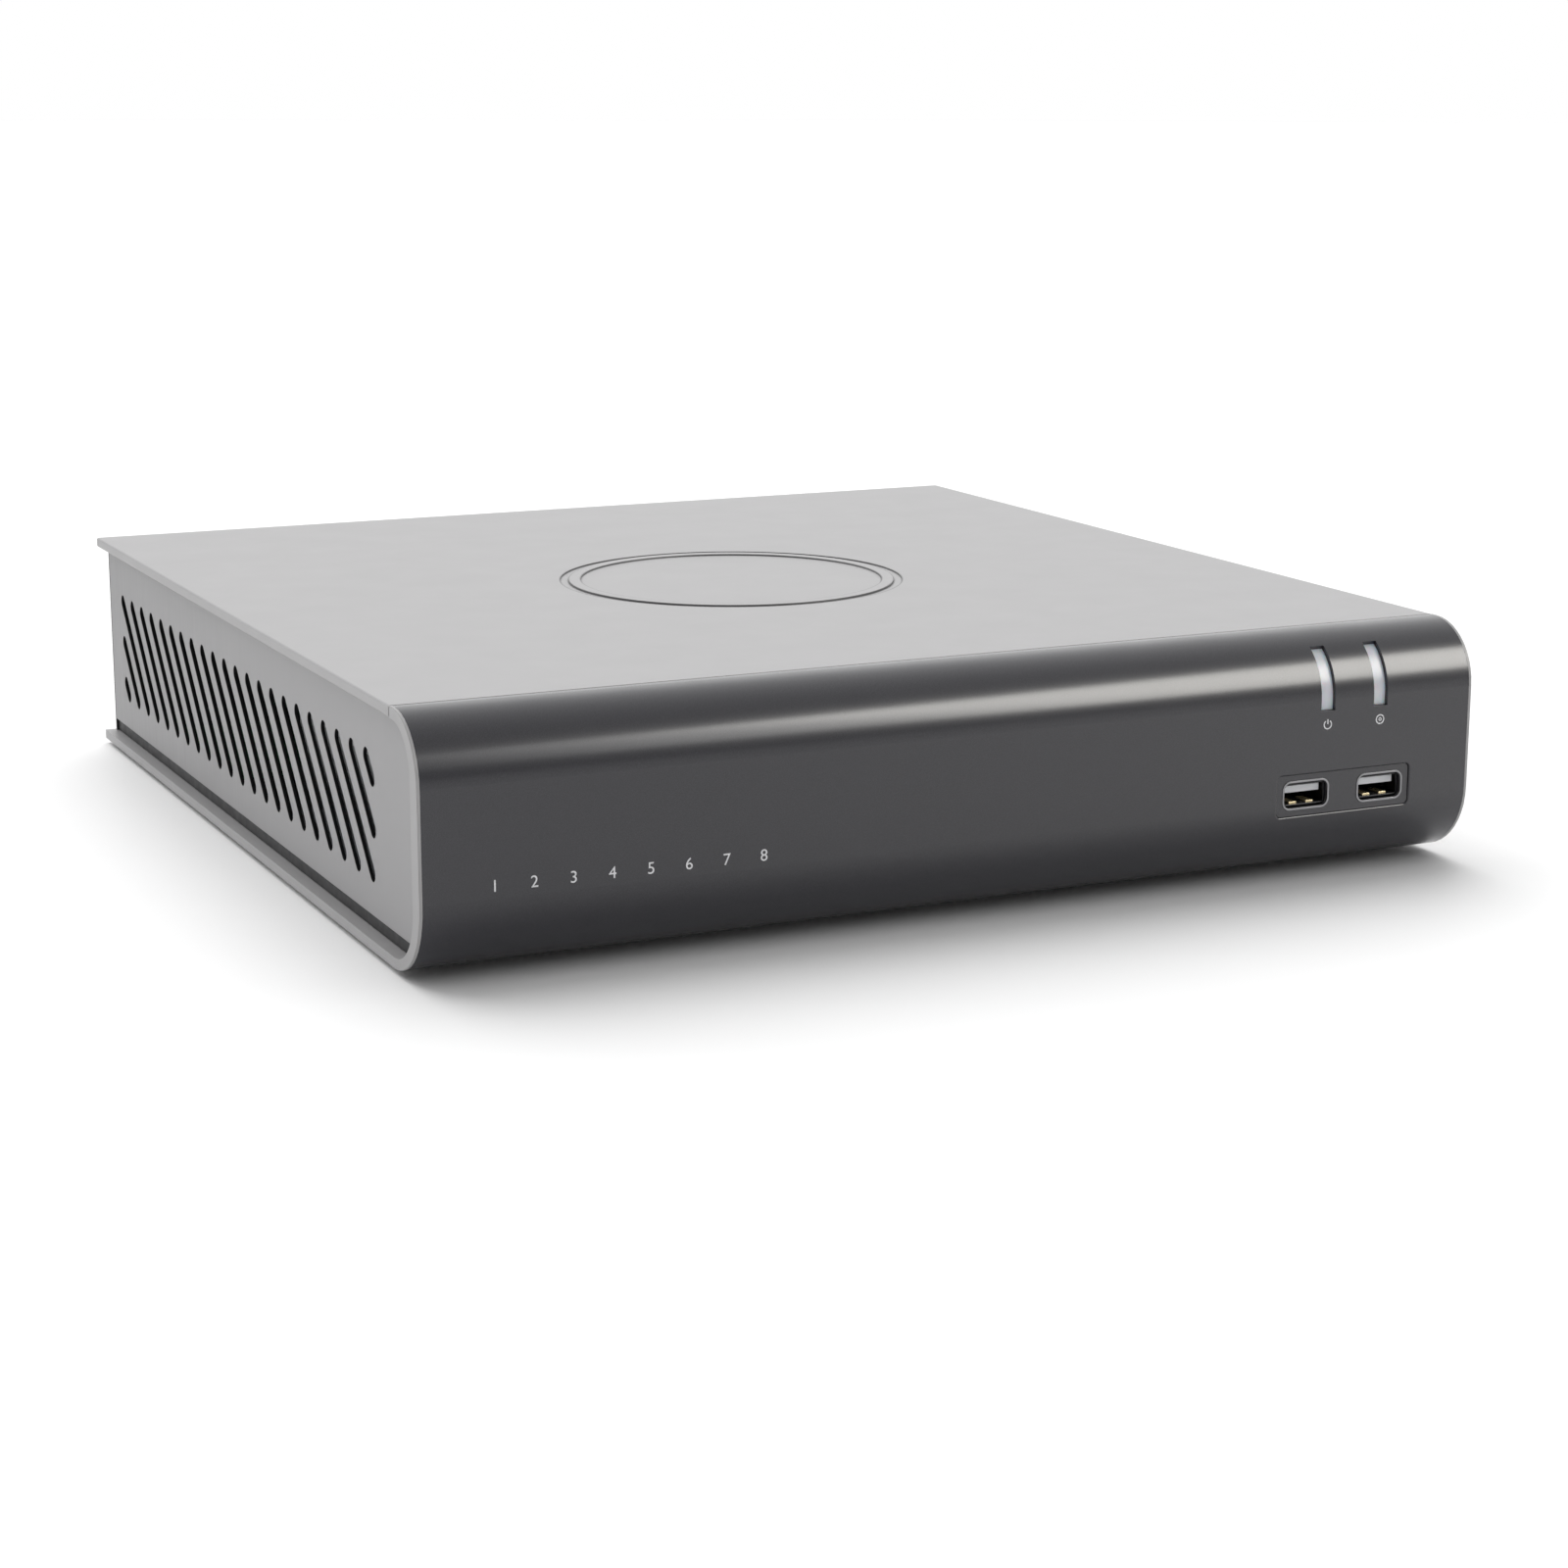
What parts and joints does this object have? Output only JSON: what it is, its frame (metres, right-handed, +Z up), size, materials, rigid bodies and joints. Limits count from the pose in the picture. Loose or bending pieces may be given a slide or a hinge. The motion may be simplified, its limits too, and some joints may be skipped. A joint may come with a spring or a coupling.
{
  "type": "video recorder",
  "caption": "Desktop security video recorder: light casing with slotted sides, dark curved front with light windows and two sockets, rear video jacks, fan and disk inside.",
  "frame": {"origin": "centre of the bounding box in X and Y, at the underside of the rubber feet", "axes": "+Z up, -Y towards the viewer of the dark front, +X to the right seen from the front"},
  "size_m": [0.3, 0.319, 0.0662],
  "materials": {
    "light_shell": "fine satin moulding",
    "light_cover": "satin powder coat",
    "side_metal": "satin paint",
    "dark_fascia": "satin pearl coating",
    "dark_strip": "fine grain",
    "tray_steel": "zinc plated",
    "rear_metal": "black powder coat",
    "foot_rubber": "soft",
    "screw_steel": "nickel plated",
    "window_plastic": "translucent",
    "socket_steel": "nickel plated",
    "ring_steel": "satin",
    "tongue_white": "smooth",
    "contact_gold": "gold plated",
    "jack_black": "fine grain",
    "jack_nickel": "nickel plated",
    "insulator_white": "smooth",
    "audio_red": "smooth",
    "display_blue": "smooth",
    "terminal_green": "smooth",
    "board_green": "solder mask",
    "chip_black": "fine grain",
    "sink_aluminium": "extruded",
    "can_aluminium": "smooth",
    "cell_steel": "satin",
    "fan_black": "smooth",
    "disk_cast": "cast",
    "disk_steel": "pressed",
    "platter_mirror": "polished",
    "lead_black": "smooth",
    "plug_white": "smooth",
    "shell_black": "black nickel",
    "lamp_clear": "clear"
  },
  "bodies": {
    "root": {"wrap_frame": "light_shell", "front_fascia": "dark_fascia", "top_cover": "light_cover", "side_panel_left": "side_metal", "side_panel_right": "side_metal", "groove_strips": "dark_strip", "base_tray": "tray_steel", "rear_panel": "rear_metal", "rubber_feet": "foot_rubber", "foot_screws": "screw_steel", "chassis_screws": "screw_steel", "rear_screws": "screw_steel", "board_screws": "screw_steel", "disk_screws": "screw_steel", "terminal_screws": "screw_steel", "bnc_shells": "jack_nickel", "bnc_insulators": "insulator_white", "audio_shells": "jack_nickel", "audio_insulators": "audio_red", "display_insert": "display_blue", "display_hex_nuts": "jack_nickel", "jack_housings": "jack_black", "rear_socket_shells": "socket_steel", "rear_contacts": "contact_gold", "socket_tongues": "tongue_white", "network_jack": "jack_black", "terminal_block": "terminal_green", "power_jack": "jack_black", "power_switch_frame": "jack_black", "fan_frame": "fan_black", "main_board": "board_green", "board_standoffs": "jack_nickel", "processor": "chip_black", "heat_sink": "sink_aluminium", "board_chips": "chip_black", "capacitors": "can_aluminium", "cell_holder": "jack_black", "coin_cell": "cell_steel", "front_board": "board_green", "usb_bezel": "dark_fascia", "usb_rings": "ring_steel", "front_usb_shells": "shell_black", "front_usb_springs": "contact_gold", "light_windows": "window_plastic", "indicator_lamps": "lamp_clear", "disk_board": "board_green", "disk_base": "disk_cast", "disk_cover": "disk_steel", "disk_magnet_yoke": "disk_steel", "disk_brackets": "tray_steel", "disk_leads": "lead_black", "front_board_lead": "lead_black", "fan_lead": "lead_black", "board_sockets": "plug_white", "lead_plugs": "plug_white"},
    "fan": {"fan_rotor": "fan_black"},
    "platters": {"disk_platters": "platter_mirror"},
    "head_arm": {"disk_head_arm": "sink_aluminium"},
    "rocker": {"power_rocker": "jack_black"}
  },
  "joints": [
    {"name": "fan_spin", "type": "hinge", "parent": "root", "child": "fan", "pos_m": [0.03637, 0.1425, 0.0421], "axis": [0, 1, 0], "continuous": true},
    {"name": "disk_spin", "type": "hinge", "parent": "root", "child": "platters", "pos_m": [-0.074, -0.0775, 0.0215], "axis": [0, 0, 1], "continuous": true},
    {"name": "head_swing", "type": "hinge", "parent": "root", "child": "head_arm", "pos_m": [-0.056, -0.0195, 0.0215], "axis": [0, 0, 1], "range_deg": [0, 30]},
    {"name": "switch_rock", "type": "hinge", "parent": "root", "child": "rocker", "pos_m": [0.133, 0.1469, 0.0355], "axis": [1, 0, 0], "range_deg": [0, 14]}
  ]
}
